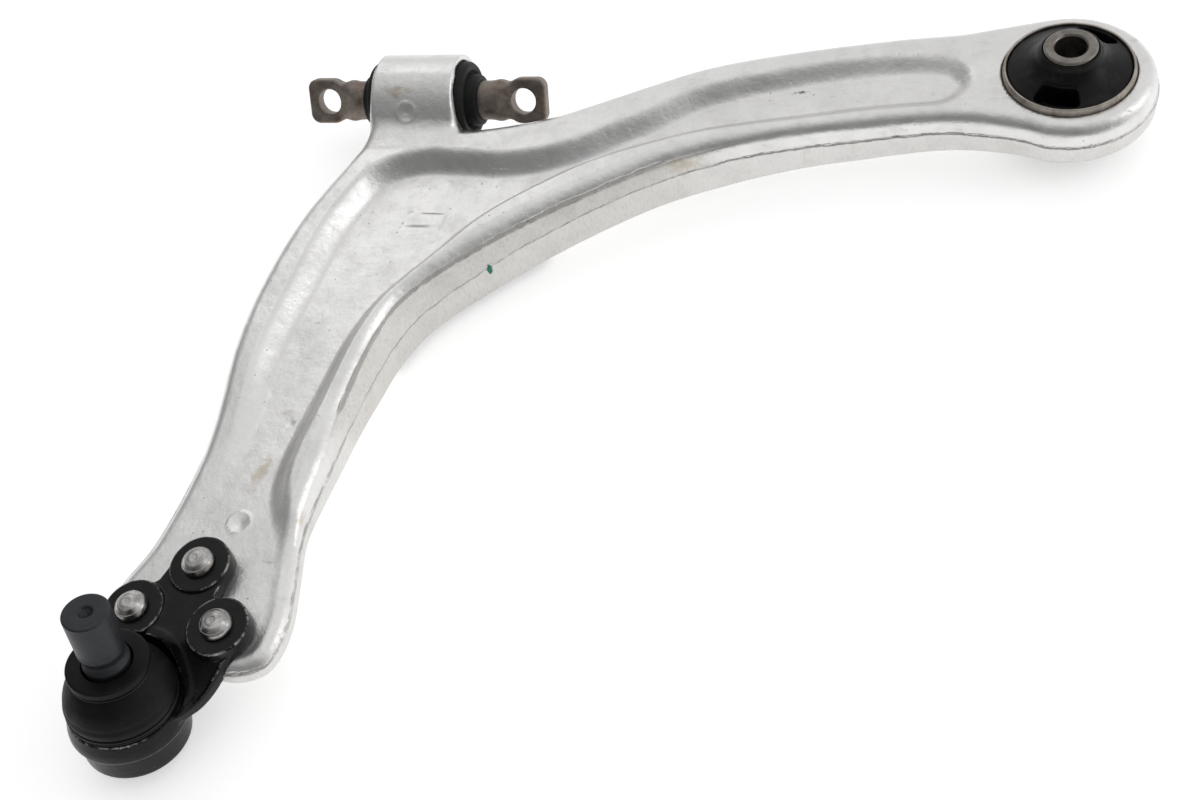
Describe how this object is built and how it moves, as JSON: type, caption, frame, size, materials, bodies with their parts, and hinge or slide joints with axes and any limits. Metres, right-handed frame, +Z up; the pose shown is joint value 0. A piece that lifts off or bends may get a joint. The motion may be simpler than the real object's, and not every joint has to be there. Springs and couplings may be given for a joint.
{
  "type": "suspension control arm",
  "caption": "L-shaped forged lower control arm with a riveted ball joint, a bar-pin front bush and an upright rear bush.",
  "frame": {"origin": "middle of the underside of the whole object's bounding box", "axes": "+X along the bar pin of the front bush towards the rear bush, +Y inboard, +Z up along the rear bush axis"},
  "size_m": [0.4147, 0.4135, 0.0836],
  "materials": {
    "forged_aluminium": "bright satin forged and tumbled surface, small dents, scuffs and brown stains",
    "bare_steel": "bare turned steel, lightly oxidised",
    "forged_pin_steel": "bare forged steel with a brown-grey scale",
    "can_steel": "phosphated brown-grey pressed steel",
    "black_coated_steel": "glossy black electrocoat over a forged surface",
    "bush_rubber": "moulded black rubber, satin, with pale dust",
    "boot_rubber": "matte black moulded rubber",
    "stud_steel": "dark blue-grey heat-treated steel",
    "seat_plastic": "natural acetal"
  },
  "bodies": {
    "arm": {"arm_forging": "forged_aluminium", "front_bush_outer_sleeve": "bare_steel", "front_bush_rubber": "bush_rubber", "rear_bush_outer_can": "can_steel", "ball_joint_housing": "black_coated_steel", "ball_seat_upper": "seat_plastic", "ball_seat_lower": "seat_plastic", "ball_seat_preload_washer": "bare_steel", "ball_joint_cover_plate": "black_coated_steel", "boot_lower_clamp_ring": "black_coated_steel", "rivet_1": "bare_steel", "rivet_2": "bare_steel", "rivet_3": "bare_steel"},
    "front_bar_pin": {"front_bush_bar_pin": "forged_pin_steel"},
    "rear_rubber": {"rear_bush_rubber": "bush_rubber"},
    "rear_sleeve": {"rear_bush_inner_sleeve": "bare_steel"},
    "boot": {"dust_boot": "boot_rubber"},
    "boot_collar": {"boot_upper_clamp_ring": "black_coated_steel"},
    "stud": {"ball_stud": "stud_steel"}
  },
  "joints": [
    {"name": "front_bush_torsion", "type": "hinge", "parent": "arm", "child": "front_bar_pin", "pos_m": [-0.14252, 0.15062, 0.0327], "axis": [1, 0, 0], "range_deg": [-25, 25], "stiffness_Nm_per_rad": 30},
    {"name": "rear_bush_twist", "type": "hinge", "parent": "arm", "child": "rear_rubber", "pos_m": [0.16828, 0.16732, 0.0245], "axis": [0, 0, 1], "range_deg": [-8, 8], "stiffness_Nm_per_rad": 60},
    {"name": "rear_bush_tilt", "type": "hinge", "parent": "rear_rubber", "child": "rear_sleeve", "pos_m": [0.16828, 0.16732, 0.0245], "axis": [1, 0, 0], "range_deg": [-12, 12], "stiffness_Nm_per_rad": 45, "deforming": ["rear_bush_rubber"]},
    {"name": "ball_joint_pitch", "type": "hinge", "parent": "arm", "child": "boot", "pos_m": [-0.183, -0.18254, 0.01857], "axis": [1, 0, 0], "range_deg": [-16, 16], "deforming": ["dust_boot"]},
    {"name": "ball_joint_roll", "type": "hinge", "parent": "boot", "child": "boot_collar", "pos_m": [-0.183, -0.18254, 0.01857], "axis": [0, 1, 0], "range_deg": [-16, 16], "deforming": ["dust_boot"]},
    {"name": "stud_spin", "type": "hinge", "parent": "boot_collar", "child": "stud", "pos_m": [-0.183, -0.18254, 0.01857], "axis": [0.1, 0.21, 0.9726], "continuous": true}
  ]
}
